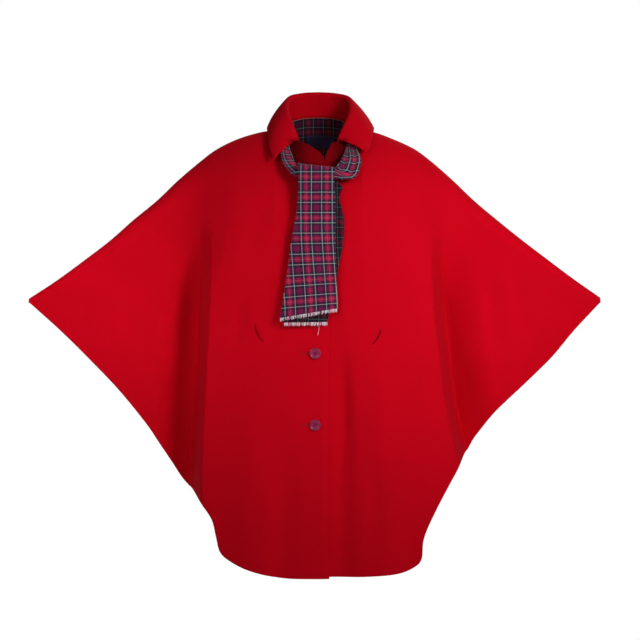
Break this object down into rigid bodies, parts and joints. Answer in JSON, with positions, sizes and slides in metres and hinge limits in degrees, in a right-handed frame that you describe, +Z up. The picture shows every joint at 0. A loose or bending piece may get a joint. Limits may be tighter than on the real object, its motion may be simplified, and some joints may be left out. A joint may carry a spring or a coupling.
{
  "type": "wheelchair cape",
  "caption": "Cape with draped wings, a long buttoned front, a short back, a turned-down collar and a plaid neck scarf, filled out as worn.",
  "frame": {"origin": "Middle of the neck opening at the height of the shoulder line, where the wearer's shoulders carry the cape.", "axes": "+Z is up, the wearer faces -Y, and +X is the wearer's left, the viewer's right in the picture."},
  "size_m": [1.0186, 0.251, 0.8689],
  "materials": {
    "wool": "felted red coat wool with a short nap",
    "plaid": "woven wool plaid in crimson, navy, white and orange",
    "fringe": "loose wool yarn ends",
    "label": "smooth woven tape, blank",
    "button": "glossy dark crimson"
  },
  "bodies": {
    "root": {"right_front": "wool", "left_front": "wool", "back": "wool", "collar": "wool", "right_stand_end": "wool", "left_stand_end": "wool", "hand_slit_right": "wool", "hand_slit_left": "wool", "nape_lining": "plaid", "right_scarf_neck": "plaid", "left_scarf_neck": "plaid", "scarf_tail_front": "plaid", "scarf_tail_rear": "plaid", "scarf_tail_front_fringe": "fringe", "scarf_tail_rear_fringe": "fringe", "label": "label", "button_1": "button", "button_2": "button", "button_3": "button", "button_4": "button"}
  },
  "joints": []
}
